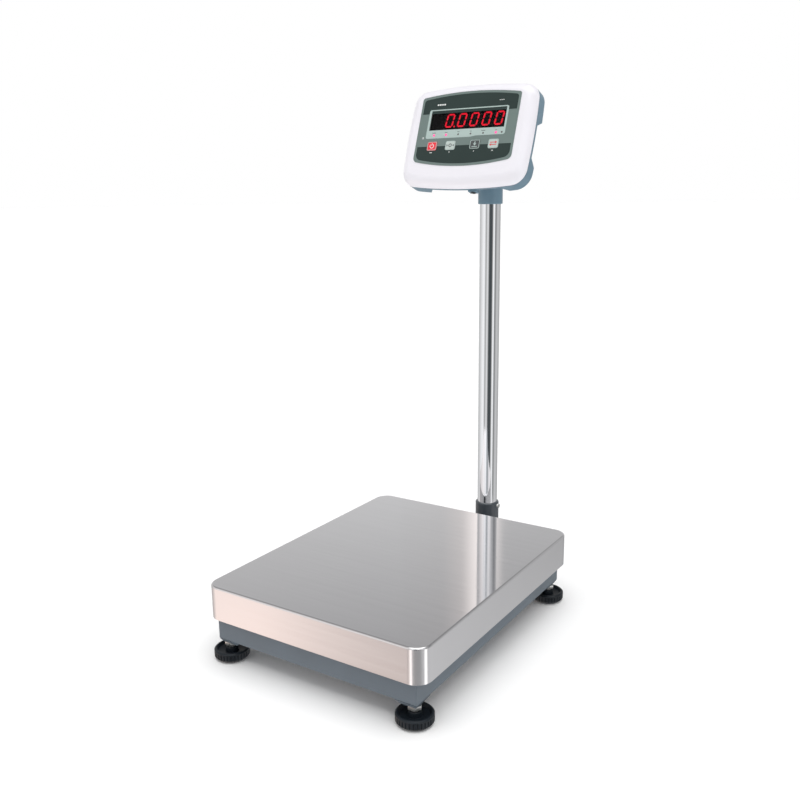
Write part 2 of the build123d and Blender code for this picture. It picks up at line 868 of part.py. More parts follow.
def lamps():
    """The row of small status lamps under the window."""
    return group([rod(lamp_r, -3, overlay_thickness - 0.1, x, lamp_y) for x in lamp_x])


def key(x):
    """One key pad with the stem that presses its switch."""
    top = overlay_thickness + key_proud
    pad = Pos(x, key_y, -1.6) * extrude(RectangleRounded(key_width, key_height, key_corner_r), top + 1.6)
    pad = fillet(pad.faces().sort_by(Axis.Z)[-1].edges(), 0.4)
    return pad + rod(2, -2.4, -1.6, x, key_y)


def key_switches():
    """The four tact switches under the keys."""
    top = -2.4 - switch_gap
    switches = []
    for x in key_x.values():
        body = slab((x - 3, x + 3), (key_y - 3, key_y + 3), (board_z + board_thickness, top - 0.6))
        switches.append(body + rod(1.7, top - 0.6, top, x, key_y))
    return group(switches)


def front_board():
    """The circuit board behind the face."""
    return slab((-88, 88), (-40, 50), (board_z, board_z + board_thickness))


def main_board():
    """The amplifier and power board in the tub."""
    return slab((-80, 80), (-50, 50), (tub_back + 8, tub_back + 8 + board_thickness))


def battery():
    """The rechargeable pack on the main board."""
    pack = slab((-70, 5), (-8, 34), (tub_back + 10.5, tub_back + 30))
    return fillet(pack.edges().filter_by(Axis.Z), 4)


# ---------------------------------------------------------------- write

def write_base():
    """The pieces that stand still."""
    save("base_rail_front", end_rail(-1))
    save("base_rail_rear", end_rail(1))
    save("base_rail_left", side_rail(-1))
    save("base_rail_right", side_rail(1))
    save("base_cross_beam", base_cross_beam())
    save("corner_plates", corner_plates())
    save("foot_locknuts", foot_locknuts())
    save("overload_stops", overload_stops())
    save("overload_nuts", overload_nuts())
    save("load_cell", load_cell())
    save("cell_spacer_lower", cell_spacer(-1, cross_beam_top))
    save("cell_spacer_upper", cell_spacer(1, cell_high))
    save("cell_bolts_lower", cell_bolts(-1, rail_low - 5.3, rail_low, cell_low + 14))
    save("cell_bolts_upper", cell_bolts(1, spider_high, spider_high + 5.3, cell_high - 14))
    save("spider_arm_left", spider_arm(-1))
    save("spider_arm_right", spider_arm(1))
    save("spider_cross_beam", spider_cross_beam())
    save("platter_pads", platter_pads())
    save("column_bracket", column_bracket())
    save("bracket_bolts", bracket_bolts())
    save("column_socket", column_socket())
    save("clamp_screw", clamp_screw())
    save("column_tube", column_tube())
    save("bubble_level_housing", bubble_level_housing())
    save("bubble_level_vial", bubble_level_vial())


def write_moving():
    """The platter, the feet and the swivel."""
    save("platter", platter())
    save("platter_ribs", platter_ribs())
    wheel = foot_wheel()
    stud = foot_stud()
    for end, end_name in ((-1, "front"), (1, "rear")):
        for side, side_name in ((-1, "left"), (1, "right")):
            place = Pos(side * foot_x, end * foot_y, 0)
            save(f"foot_wheel_{end_name}_{side_name}", place * wheel)
            save(f"foot_stud_{end_name}_{side_name}", place * stud)
    save("column_collar", column_collar())
    save("collar_screw", collar_screw())
    save("tilt_yoke", tilt_yoke())
    save("tilt_pin", tilt_pin())


def write_head():
    """The display head, tilted back on its arm."""
    pieces = {
        "head_arm": head_arm(),
        "arm_bolts": arm_bolts(),
        "front_cover": front_cover(),
        "housing_gasket": housing_gasket(),
        "rear_housing": rear_housing(),
        "housing_screws": housing_screws(),
        "cell_connector": cell_connector(),
        "charge_jack": charge_jack(),
        "overlay": overlay(),
        "display_window": display_window(),
        "display_modules": display_modules(),
        "display_digits": display_digits(),
        "lamps": lamps(),
        "key_switches": key_switches(),
        "front_board": front_board(),
        "main_board": main_board(),
        "battery": battery(),
    }
    for name, x in key_x.items():
        pieces[f"key_{name}"] = key(x)
    for name, piece in pieces.items():
        save(name, head_place * piece)


os.makedirs("parts", exist_ok=True)
write_base()
write_moving()
write_head()
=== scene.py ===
import json
from math import cos, hypot, pi, radians, sin, sqrt, tan

import bmesh
import bpy
from mathutils import Euler, Matrix, Vector


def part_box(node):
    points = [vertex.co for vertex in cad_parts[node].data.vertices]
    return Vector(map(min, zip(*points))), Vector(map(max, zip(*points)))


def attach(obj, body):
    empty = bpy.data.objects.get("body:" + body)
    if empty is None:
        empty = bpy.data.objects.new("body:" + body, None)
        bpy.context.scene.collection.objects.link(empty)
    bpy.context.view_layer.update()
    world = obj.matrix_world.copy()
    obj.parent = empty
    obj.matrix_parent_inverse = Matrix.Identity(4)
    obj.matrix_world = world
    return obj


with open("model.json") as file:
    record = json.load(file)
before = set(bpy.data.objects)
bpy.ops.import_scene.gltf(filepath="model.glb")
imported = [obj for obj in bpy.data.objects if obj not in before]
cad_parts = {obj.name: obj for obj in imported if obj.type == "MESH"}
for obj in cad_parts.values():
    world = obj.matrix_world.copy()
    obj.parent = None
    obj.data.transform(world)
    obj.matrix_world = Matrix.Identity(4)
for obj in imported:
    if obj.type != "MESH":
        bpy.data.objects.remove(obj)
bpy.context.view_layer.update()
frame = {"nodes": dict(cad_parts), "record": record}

# ---------------------------------------------------------------- sizes on the head's face, in millimetres
MM = 0.001
HEAD_TILT = radians(20)
OVERLAY_HALF, OVERLAY_LOW, OVERLAY_HIGH = 95, -47.5, 67.5
OVERLAY_LOW_BOW, OVERLAY_HIGH_BOW = 10, 7.4
OVERLAY_TOP = 0.6
PRINT = 0.05
WINDOW_HALF_X, WINDOW_LOW, WINDOW_HIGH = 72.5, 7.7, 43.1
WINDOW_Y = (WINDOW_LOW + WINDOW_HIGH) / 2
DIGIT_PITCH, DIGIT_WIDTH, DIGIT_HEIGHT, DIGIT_STROKE, DIGIT_GAP = 23.7, 15.4, 24.5, 2.8, 0.5
DIGIT_SLANT = radians(8)
LAMP_X = (-60.8, -36.8, -12.8, 11.2, 35.2, 59.2, 70)
LAMP_Y, LAMP_R = -1.4, 1.6
LAMPS_LIT = (0, 1, 5)
KEY_X = {"power": -61, "zero": -24.5, "tare": 23, "mode": 58}
KEY_Y, KEY_WIDTH, KEY_HEIGHT, KEY_TOP, KEY_CORNER = -20.7, 19, 16, 1.1, 3

# The face's middle, from the box of the film on it; the film's crown is its highest point.
overlay_low, overlay_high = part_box("overlay")
overlay_crown = (OVERLAY_HIGH + OVERLAY_HIGH_BOW) * MM
head_up = Vector((0, sin(HEAD_TILT), cos(HEAD_TILT)))
head_out = Vector((0, -cos(HEAD_TILT), sin(HEAD_TILT)))
face = Vector((
    (overlay_low.x + overlay_high.x) / 2,
    overlay_high.y - overlay_crown * head_up.y,
    overlay_high.z - overlay_crown * head_up.z - OVERLAY_TOP * MM * head_out.z,
))
head_matrix = Matrix((
    (1, 0, 0, face.x),
    (0, head_up.y, head_out.y, face.y),
    (0, head_up.z, head_out.z, face.z),
    (0, 0, 0, 1),
)) @ Matrix.Scale(MM, 4)

# ---------------------------------------------------------------- camera
CAMERA_AT = Vector((0.7567, -1.2042, 0.7157))
CAMERA_AZIMUTH, CAMERA_ELEVATION, CAMERA_ROLL = radians(33.09), radians(13.12), radians(-0.71)
CAMERA_LENS, CAMERA_SENSOR = 39.65, 36
CAMERA_NEAR, CAMERA_FAR = 0.05, 200


def make_camera():
    """A view from the front right and slightly above."""
    data = bpy.data.cameras.new("camera")
    data.lens, data.sensor_width = CAMERA_LENS, CAMERA_SENSOR
    data.clip_start, data.clip_end = CAMERA_NEAR, CAMERA_FAR
    camera = bpy.data.objects.new("camera", data)
    bpy.context.scene.collection.objects.link(camera)
    turn = Euler((pi / 2 - CAMERA_ELEVATION, 0, CAMERA_AZIMUTH)).to_matrix()
    roll = Matrix.Rotation(CAMERA_ROLL, 3, "Z")
    camera.matrix_world = Matrix.Translation(CAMERA_AT) @ (turn @ roll).to_4x4()
    bpy.context.scene.camera = camera


make_camera()


# ---------------------------------------------------------------- materials
class Nodes:
    """A short way to wire up one node tree."""

    def __init__(self, tree):
        self.tree = tree

    def add(self, kind, **settings):
        """A new node with its settings."""
        node = self.tree.nodes.new(kind)
        for name, value in settings.items():
            setattr(node, name, value)
        return node

    def link(self, source, target):
        self.tree.links.new(source, target)

    def math(self, operation, first, second=None):
        """A Math node on sockets or numbers; returns its output."""
        node = self.add("ShaderNodeMath", operation=operation)
        for socket, value in zip(node.inputs, (first, second)):
            self.feed(socket, value)
        return node.outputs[0]

    def vector(self, operation, first, second):
        """A Vector Math node on sockets or vectors; returns its vector, or its number for a dot product."""
        node = self.add("ShaderNodeVectorMath", operation=operation)
        for socket, value in zip(node.inputs, (first, second)):
            self.feed(socket, value)
        return node.outputs[1 if operation == "DOT_PRODUCT" else 0]

    def feed(self, socket, value):
        """Links a socket's value, or sets a plain one."""
        if isinstance(value, bpy.types.NodeSocket):
            self.link(value, socket)
        elif value is not None:
            socket.default_value = value

    def noise(self, scale, detail, stretch=(1, 1, 1), roughness=0.55):
        """Noise on the object's own coordinates; scale is in features per metre."""
        coordinates = self.add("ShaderNodeTexCoord").outputs["Object"]
        mapping = self.add("ShaderNodeMapping")
        mapping.inputs["Scale"].default_value = stretch
        self.link(coordinates, mapping.inputs["Vector"])
        node = self.add("ShaderNodeTexNoise")
        node.inputs["Scale"].default_value = scale
        node.inputs["Detail"].default_value = detail
        node.inputs["Roughness"].default_value = roughness
        self.link(mapping.outputs[0], node.inputs["Vector"])
        return node.outputs[0]

    def span(self, value, low, high, start=0.3, end=0.7):
        """Maps start..end to low..high, clamped."""
        node = self.add("ShaderNodeMapRange", clamp=True)
        for socket, number in zip(node.inputs, (value, start, end, low, high)):
            self.feed(socket, number)
        return node.outputs[0]

    def mix(self, factor, first, second):
        """A blend of two colours, from the first at 0 to the second at 1."""
        node = self.add("ShaderNodeMix", data_type="RGBA")
        self.feed(node.inputs[0], factor)
        self.feed(node.inputs[6], first)
        self.feed(node.inputs[7], second)
        return node.outputs[2]


def shade(colour, factor):
    """A colour made lighter or darker, as RGBA."""
    return tuple(min(1.0, part * factor) for part in colour[:3]) + (1.0,)


def new_material(name):
    """An empty material, its nodes and its shader."""
    made = bpy.data.materials.new(name)
    made.use_nodes = True
    return made, Nodes(made.node_tree), made.node_tree.nodes["Principled BSDF"]


EDGE_RADIUS = 0.0007
GRAIN_STRENGTH = 0.6
GLOSS_FROM, GLOSS_TO = 0.35, 0.65


def finish(name, colour, rough, metal=0.0, mottle=0.06, mottle_scale=14, rough_span=0.06,
           grain=900, grain_depth=0.00002, stretch=(1, 1, 1), edge=0.0, edge_colour=None, **sockets):
    """A physically based finish with mottled colour, uneven gloss, a fine grain and worn edges."""
    made, nodes, shader = new_material(name)
    shader.inputs["Metallic"].default_value = metal
    for socket, value in sockets.items():
        shader.inputs[socket.replace("_", " ")].default_value = value
    patches = nodes.noise(mottle_scale, 4)
    tone = nodes.mix(nodes.span(patches, 0, 1), shade(colour, 1 - mottle), shade(colour, 1 + mottle))
    fine = nodes.noise(grain, 3, stretch)
    uneven = nodes.math("ADD", nodes.math("MULTIPLY", patches, 0.5), nodes.math("MULTIPLY", fine, 0.5))
    gloss = nodes.span(uneven, rough - rough_span, rough + rough_span, GLOSS_FROM, GLOSS_TO)
    nodes.link(gloss, shader.inputs["Roughness"])
    bump = nodes.add("ShaderNodeBump")
    bump.inputs["Strength"].default_value = GRAIN_STRENGTH
    bump.inputs["Distance"].default_value = grain_depth
    nodes.link(fine, bump.inputs["Height"])
    if edge:
        rounded = nodes.add("ShaderNodeBevel", samples=4)
        rounded.inputs["Radius"].default_value = EDGE_RADIUS
        true_normal = nodes.add("ShaderNodeNewGeometry").outputs["Normal"]
        turn = nodes.math("SUBTRACT", 1.0, nodes.vector("DOT_PRODUCT", rounded.outputs[0], true_normal))
        sharp = nodes.span(turn, 0, 1, 0.02, 0.2)
        worn = nodes.math("MULTIPLY", sharp, nodes.span(patches, 0.3, 1, 0.4, 0.6))
        tone = nodes.mix(nodes.math("MULTIPLY", worn, edge), tone, edge_colour)
        nodes.link(rounded.outputs[0], bump.inputs["Normal"])
    nodes.link(tone, shader.inputs["Base Color"])
    nodes.link(bump.outputs[0], shader.inputs["Normal"])
    return made


BRUSH_SCALE, BRUSH_DETAIL, BRUSH_STRETCH, BRUSH_ROUGHNESS = 140, 7, 0.02, 0.62
BRUSH_STRENGTH, BRUSH_DEPTH = 0.15, 0.00001
BRUSH_GLOSS_SPAN = 0.02


def brushed_steel(name, colour, rough_side, rough_top):
    """Stainless sheet brushed along the platter's width on its top and along each skirt on its sides."""
    made, nodes, shader = new_material(name)
    shader.inputs["Metallic"].default_value = 1.0
    shader.inputs["Anisotropic"].default_value = 1.0
    normal = nodes.add("ShaderNodeNewGeometry").outputs["Normal"]
    split = nodes.add("ShaderNodeSeparateXYZ")
    nodes.link(normal, split.inputs[0])
    # The highlight is drawn out across the brush lines.
    around = nodes.vector("CROSS_PRODUCT", (0, 0, 1), normal)
    over = nodes.vector("CROSS_PRODUCT", (0, 1, 0), normal)
    scaled = nodes.add("ShaderNodeVectorMath", operation="SCALE")
    nodes.link(over, scaled.inputs[0])
    nodes.link(split.outputs["Z"], scaled.inputs["Scale"])
    brush = nodes.vector("ADD", around, scaled.outputs[0])
    nodes.link(nodes.vector("CROSS_PRODUCT", normal, brush), shader.inputs["Tangent"])
    along_x = nodes.noise(BRUSH_SCALE, BRUSH_DETAIL, (BRUSH_STRETCH, 1, 1), BRUSH_ROUGHNESS)
    along_y = nodes.noise(BRUSH_SCALE, BRUSH_DETAIL, (1, BRUSH_STRETCH, 1), BRUSH_ROUGHNESS)
    sideways = nodes.span(nodes.math("ABSOLUTE", split.outputs["X"]), 0, 1, 0.6, 0.8)
    lines = nodes.add("ShaderNodeMix", data_type="FLOAT")
    nodes.feed(lines.inputs[0], sideways)
    nodes.feed(lines.inputs[2], along_x)
    nodes.feed(lines.inputs[3], along_y)
    lines = lines.outputs[0]
    patches = nodes.noise(6, 4)
    tone = nodes.mix(nodes.span(lines, 0, 1), shade(colour, 0.975), shade(colour, 1.02))
    tone = nodes.mix(nodes.span(patches, 0, 0.35), tone, shade(colour, 0.97))
    nodes.link(tone, shader.inputs["Base Color"])
    gloss = nodes.math("ADD", nodes.math("MULTIPLY", lines, 0.6), nodes.math("MULTIPLY", patches, 0.4))
    gloss = nodes.span(gloss, -BRUSH_GLOSS_SPAN, BRUSH_GLOSS_SPAN, GLOSS_FROM, GLOSS_TO)
    level = nodes.span(nodes.math("ABSOLUTE", split.outputs["Z"]), rough_side, rough_top, 0.8, 0.98)
    nodes.link(nodes.math("ADD", gloss, level), shader.inputs["Roughness"])
    bump = nodes.add("ShaderNodeBump")
    bump.inputs["Strength"].default_value = BRUSH_STRENGTH
    bump.inputs["Distance"].default_value = BRUSH_DEPTH
    nodes.link(lines, bump.inputs["Height"])
    nodes.link(bump.outputs[0], shader.inputs["Normal"])
    return made


def glowing(name, colour, strength, dark):
    """A lit lamp or segment: coloured plastic that glows, a little unevenly."""
    made = finish(name, dark, 0.35, mottle=0.04, grain=2500)
    nodes = Nodes(made.node_tree)
    shader = made.node_tree.nodes["Principled BSDF"]
    uneven = nodes.span(nodes.noise(260, 2), 0, 1)
    nodes.link(nodes.mix(uneven, shade(colour, 0.86), shade(colour, 1.0)), shader.inputs["Emission Color"])
    shader.inputs["Emission Strength"].default_value = strength
    return made


# The finish of each material slot in the record.
finishes = {
    "platter_steel": brushed_steel("brushed_stainless", (0.63, 0.625, 0.64), rough_side=0.2, rough_top=0.05),
    "frame_paint": finish("slate_powder_coat", (0.135, 0.165, 0.195), 0.42, grain=1400, grain_depth=0.00006,
                          edge=0.5, edge_colour=(0.24, 0.28, 0.31, 1), Specular_IOR_Level=0.3),
    "zinc": finish("zinc_plate", (0.62, 0.63, 0.62), 0.32, 1.0, mottle=0.1, mottle_scale=60, rough_span=0.1,
                   grain=1800, edge=0.4, edge_colour=(0.8, 0.8, 0.79, 1)),
    "tube_chrome": finish("polished_tube", (0.86, 0.87, 0.89), 0.07, 1.0, mottle=0.015, rough_span=0.03,
                          grain=500, grain_depth=0.000003, stretch=(1, 1, 0.03)),
    "socket_paint": finish("socket_coat", (0.055, 0.066, 0.078), 0.3, grain=1400, grain_depth=0.00004,
                           edge=0.5, edge_colour=(0.16, 0.18, 0.2, 1)),
    "foot_black": finish("foot_nylon", (0.008, 0.012, 0.017), 0.45, mottle=0.15, mottle_scale=40,
                         grain=1600, grain_depth=0.00005, edge=0.35, edge_colour=(0.04, 0.055, 0.07, 1),
                         Specular_IOR_Level=0.25),
    "pad_rubber": finish("pad_rubber", (0.02, 0.02, 0.022), 0.75, grain=1200, grain_depth=0.00008),
    "cell_aluminium": finish("cell_aluminium", (0.72, 0.73, 0.74), 0.34, 1.0, grain=900, stretch=(0.05, 1, 1),
                             edge=0.3, edge_colour=(0.85, 0.85, 0.86, 1)),
    "spacer_steel": finish("spacer_steel", (0.45, 0.45, 0.45), 0.4, 1.0, mottle=0.12, grain=900),
    "level_body": finish("level_body", (0.02, 0.022, 0.025), 0.38, grain=1500),
    "level_vial": finish("level_vial", (0.35, 0.62, 0.12), 0.12, mottle=0.1, rough_span=0.03, grain=300,
                         grain_depth=0.00001, Coat_Weight=0.6),
    "collar_plastic": finish("collar_plastic", (0.135, 0.225, 0.29), 0.4, grain=1500, grain_depth=0.00004,
                             edge=0.4, edge_colour=(0.26, 0.37, 0.43, 1)),
    "yoke_paint": finish("yoke_coat", (0.05, 0.06, 0.07), 0.36, grain=1400, grain_depth=0.00005,
                         edge=0.5, edge_colour=(0.16, 0.18, 0.2, 1)),
    "pin_steel": finish("pin_steel", (0.6, 0.6, 0.6), 0.28, 1.0, mottle=0.08, grain=1200),
    "arm_aluminium": finish("arm_coat", (0.125, 0.21, 0.275), 0.4, grain=1300, grain_depth=0.00005,
                            edge=0.5, edge_colour=(0.3, 0.4, 0.46, 1)),
    "cover_white": finish("cover_moulding", (0.855, 0.84, 0.89), 0.34, mottle=0.012, rough_span=0.04,
                          grain=1300, grain_depth=0.000018, edge=0.2, edge_colour=(0.9, 0.89, 0.92, 1)),
    "housing_grey": finish("housing_moulding", (0.135, 0.225, 0.29), 0.42, mottle=0.04, grain=1300,
                           grain_depth=0.00005, edge=0.35, edge_colour=(0.26, 0.37, 0.43, 1)),
    "seal_rubber": finish("seal_rubber", (0.05, 0.06, 0.065), 0.7, grain=900),
    "overlay_film": finish("film_grey_green", (0.155, 0.205, 0.193), 0.4, mottle=0.02, grain=2600,
                           grain_depth=0.000012, Specular_IOR_Level=0.3),
    "window_smoked": finish("smoked_window", (0.002, 0.002, 0.0025), 0.2, mottle=0.2, rough_span=0.03,
                            grain=600, grain_depth=0.000004, Specular_IOR_Level=0.1, Alpha=0.45),
    "module_black": finish("module_black", (0.004, 0.004, 0.005), 0.6, mottle=0.1, grain=1200),
    "digit_red": glowing("digit_red", (1.0, 0.012, 0.035), 2.9, (0.3, 0.01, 0.02)),
    "lamp_red": finish("lamp_dark", (0.11, 0.1, 0.1), 0.3, grain=2500),
    "board_green": finish("board_green", (0.015, 0.11, 0.045), 0.4, mottle=0.2, mottle_scale=120, grain=900),
    "switch_black": finish("switch_black", (0.02, 0.02, 0.02), 0.4),
    "battery_wrap": finish("battery_wrap", (0.03, 0.09, 0.25), 0.3),
    "connector_nickel": finish("connector_nickel", (0.6, 0.59, 0.56), 0.3, 1.0, mottle=0.08, grain=1500,
                               edge=0.3, edge_colour=(0.8, 0.79, 0.76, 1)),
    "jack_black": finish("jack_black", (0.03, 0.045, 0.055), 0.4, grain=1600),
    "key_red": finish("key_red", (0.8, 0.03, 0.05), 0.4, mottle=0.03, grain=2500),
    "key_grey": finish("key_pale", (0.5, 0.575, 0.545), 0.4, mottle=0.03, grain=2500),
    "key_black": finish("key_dark", (0.06, 0.068, 0.07), 0.4, mottle=0.05, grain=2500),
    "key_light": finish("key_light", (0.5, 0.575, 0.545), 0.4, mottle=0.03, grain=2500),
}
# The finishes of the prints, the unlit segments and the lit lamps.
print_dark = finish("print_dark", (0.026, 0.042, 0.039), 0.42, mottle=0.05, grain=2600, grain_depth=0.000012,
                    Specular_IOR_Level=0.18)
print_light = finish("print_light", (0.42, 0.52, 0.495), 0.4, mottle=0.02, grain=2600, grain_depth=0.000012,
                     Specular_IOR_Level=0.3)
print_white = finish("print_white", (0.78, 0.8, 0.79), 0.4, mottle=0.02, grain=2600)
print_ink = finish("print_ink", (0.05, 0.055, 0.055), 0.4, mottle=0.05, grain=2600)
print_red = finish("print_red", (0.66, 0.03, 0.05), 0.4, mottle=0.03, grain=2600)
unlit_segment = finish("unlit_segment", (0.012, 0.008, 0.009), 0.4, mottle=0.1, grain=2600)
lamp_lit = glowing("lamp_lit", (1.0, 0.06, 0.3), 0.85, (0.6, 0.06, 0.2))


def dress_nodes():
    """Every CAD node gets the finish of its slot in the record."""
    for part in frame["record"]["subparts"]:
        piece = frame["nodes"][part["node"]]
        made = finishes[part["material_slot"]]
        if not piece.data.materials:
            piece.data.materials.append(made)
        for slot in piece.material_slots:
            slot.material = made


dress_nodes()


# ---------------------------------------------------------------- flat shapes, in the head's own millimetres
CORNER_STEPS, DISC_STEPS, ARC_STEPS, BOW_STEPS = 6, 24, 20, 72


def sweep(x, y, radius, start, end, steps):
    """Points along a circular arc, from start to end in degrees."""
    angles = [radians(start + (end - start) * i / steps) for i in range(steps + 1)]
    return [(x + radius * cos(angle), y + radius * sin(angle)) for angle in angles]


def rectangle(x_low, x_high, y_low, y_high, radius=0.0, steps=CORNER_STEPS):
    """A rectangle, anticlockwise, with round corners if it has a radius."""
    if not radius:
        return [(x_low, y_low), (x_high, y_low), (x_high, y_high), (x_low, y_high)]
    centres = ((x_high - radius, y_low + radius, -90), (x_high - radius, y_high - radius, 0),
               (x_low + radius, y_high - radius, 90), (x_low + radius, y_low + radius, 180))
    return [point for x, y, start in centres for point in sweep(x, y, radius, start, start + 90, steps)]


def disc(x, y, radius):
    """A round outline."""
    return sweep(x, y, radius, 0, 360, DISC_STEPS)[:-1]


def bar(start, end, width):
    """A straight stroke with square ends."""
    along = Vector(end) - Vector(start)
    side = Vector((-along.y, along.x)).normalized() * width / 2
    corners = (Vector(start) - side, Vector(end) - side, Vector(end) + side, Vector(start) + side)
    return [tuple(corner) for corner in corners]


def arc(x, y, radius, width, start, end):
    """A stroke along a circular arc, from start to end in degrees."""
    outer = sweep(x, y, radius + width / 2, start, end, ARC_STEPS)
    inner = sweep(x, y, radius - width / 2, start, end, ARC_STEPS)
    return outer + inner[::-1]


def corner_drop(x, half, radius):
    """How far a round corner pulls an edge in at x."""
    past = abs(x) - (half - radius)
    return radius - sqrt(max(radius * radius - past * past, 0)) if past > 0 else 0


def bowed_edge(half, level, bow, radius):
    """An edge from left to right that is bowed up at its middle and drops at its round ends."""
    across = [half * sin(pi / 2 * (2 * i / BOW_STEPS - 1)) for i in range(BOW_STEPS + 1)]
    return [(x, level + bow * (1 - (x / half) ** 2) - corner_drop(x, half, radius)) for x in across]


def segment(start, end):
    """One pointed display bar between two corners of a digit."""
    along = Vector(end) - Vector(start)
    middle, half, side = (Vector(start) + Vector(end)) / 2, along.length / 2 - DIGIT_GAP, DIGIT_STROKE / 2
    along.normalize()
    across = Vector((-along.y, along.x))
    points = ((-half, 0), (-half + side, -side), (half - side, -side),
              (half, 0), (half - side, side), (-half + side, side))
    return [tuple(middle + u * along + v * across) for u, v in points]


def flat_piece(name, shapes, low, high, material, body):
    """Thin solid shapes on the head's face: each shape is an outline with any holes after it."""
    mesh = bmesh.new()
    for loops in shapes:
        edges = []
        for points in loops:
            ring = [mesh.verts.new((x, y, low)) for x, y in points]
            edges += [mesh.edges.new((ring[i - 1], ring[i])) for i in range(len(ring))]
        filled = bmesh.ops.triangle_fill(
            mesh, use_beauty=True, use_dissolve=False, edges=edges, normal=(0, 0, 1))
        faces = [item for item in filled["geom"] if isinstance(item, bmesh.types.BMFace)]
        raised = bmesh.ops.extrude_face_region(mesh, geom=faces, use_keep_orig=True)
        moved = [item for item in raised["geom"] if isinstance(item, bmesh.types.BMVert)]
        bmesh.ops.translate(mesh, verts=moved, vec=(0, 0, high - low))
    bmesh.ops.recalc_face_normals(mesh, faces=mesh.faces)
    mesh.transform(head_matrix)
    data = bpy.data.meshes.new(name)
    mesh.to_mesh(data)
    mesh.free()
    data.materials.append(material)
    piece = bpy.data.objects.new(name, data)
    bpy.context.scene.collection.objects.link(piece)
    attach(piece, body)


def printed(name, shapes, low, material):
    """A thin print on the head's film, from a height over the face."""
    flat_piece(name, shapes, low, low + PRINT, material, "head")


# ---------------------------------------------------------------- the printed face
BORDER = 4.2
KEY_GAP = 0.45
HOLE_GAP = 0.1
BAND_LOW, BAND_HIGH = -21.2, 37.7
BAND_LOW_RADIUS, BAND_HIGH_RADIUS = 9, 4.5
BAND_HALF = OVERLAY_HALF - BORDER
PANEL_LEFT, PANEL_RIGHT, PANEL_LOW, PANEL_HIGH, PANEL_RADIUS = -77, 76, -7, 45, 3.5
PANEL_STEP, PANEL_STEP_X, PANEL_STEP_LENGTH, PANEL_STEP_PARTS = 1.9, 8, 16, 10
LAMP_MARK_WIDTHS, LAMP_MARK_LOW, LAMP_MARK_HIGH = (7, 5.5, 4.5, 3.6, 7.5, 3), 3.7, 5.0
KEY_MARK_WIDTHS, KEY_MARK_LOW, KEY_MARK_HIGH = (5, 2.4, 1.8, 3.4), -12.6, -11
SAME_POINT = 1e-4

# Heights over the face: the film's top, the top of the first print and the top of the second.
first_print = OVERLAY_TOP
second_print = first_print + PRINT
third_print = second_print + PRINT


def upper_band():
    """The dark band across the top, inside the pale border."""
    lower = bowed_edge(BAND_HALF, BAND_HIGH, 0, 0)
    upper = bowed_edge(BAND_HALF, OVERLAY_HIGH - BORDER, OVERLAY_HIGH_BOW, BAND_HIGH_RADIUS)
    printed("print_band_upper", [[lower + upper[::-1]]], first_print, print_dark)


def lower_band():
    """The lower dark band, notched round the keys that stand across its upper edge."""
    lower = bowed_edge(BAND_HALF, -OVERLAY_LOW - BORDER, OVERLAY_LOW_BOW, BAND_LOW_RADIUS)
    outline = [(x, -y) for x, y in lower] + [(BAND_HALF, BAND_LOW)]
    half = KEY_WIDTH / 2 + KEY_GAP
    radius = KEY_CORNER + KEY_GAP
    bend = KEY_Y - KEY_HEIGHT / 2 - KEY_GAP + radius
    for x in sorted(KEY_X.values(), reverse=True):
        outline += [(x + half, BAND_LOW), (x + half, bend)]
        outline += sweep(x + half - radius, bend, radius, 0, -90, CORNER_STEPS)
        outline += sweep(x - half + radius, bend, radius, -90, -180, CORNER_STEPS)
        outline += [(x - half, bend), (x - half, BAND_LOW)]
    outline.append((-BAND_HALF, BAND_LOW))
    # Points that fall together would leave the filled shape open.
    apart = [point for i, point in enumerate(outline)
             if i == 0 or hypot(point[0] - outline[i - 1][0], point[1] - outline[i - 1][1]) > SAME_POINT]
    printed("print_band_lower", [[apart]], first_print, print_dark)


def light_panel():
    """The light panel with the window and lamps in it; its lower edge steps up on the right."""
    corners = rectangle(PANEL_LEFT, PANEL_RIGHT, PANEL_LOW, PANEL_HIGH, PANEL_RADIUS)
    lower_right = [(x, y + PANEL_STEP) for x, y in corners[:CORNER_STEPS + 1]]
    rise = []
    for part in range(PANEL_STEP_PARTS + 1):
        share = part / PANEL_STEP_PARTS
        height = PANEL_STEP * (0.5 - 0.5 * cos(pi * share))
        rise.append((PANEL_STEP_X + PANEL_STEP_LENGTH * share, PANEL_LOW + height))
    window = rectangle(-WINDOW_HALF_X, WINDOW_HALF_X, WINDOW_LOW, WINDOW_HIGH)
    holes = [disc(x, LAMP_Y, LAMP_R + HOLE_GAP) for x in LAMP_X]
    outline = rise + lower_right + corners[CORNER_STEPS + 1:]
    printed("print_panel", [[outline, window] + holes], second_print, print_light)


def dashes(x, width, pitch, fill, low, high):
    """A row of small blocks centred on x, in the place of a word."""
    count = max(1, round(width / pitch))
    pitch = width / count
    starts = [x - width / 2 + step * pitch for step in range(count)]
    return [[rectangle(start, start + pitch * fill, low, high, 0.2, 2)] for start in starts]


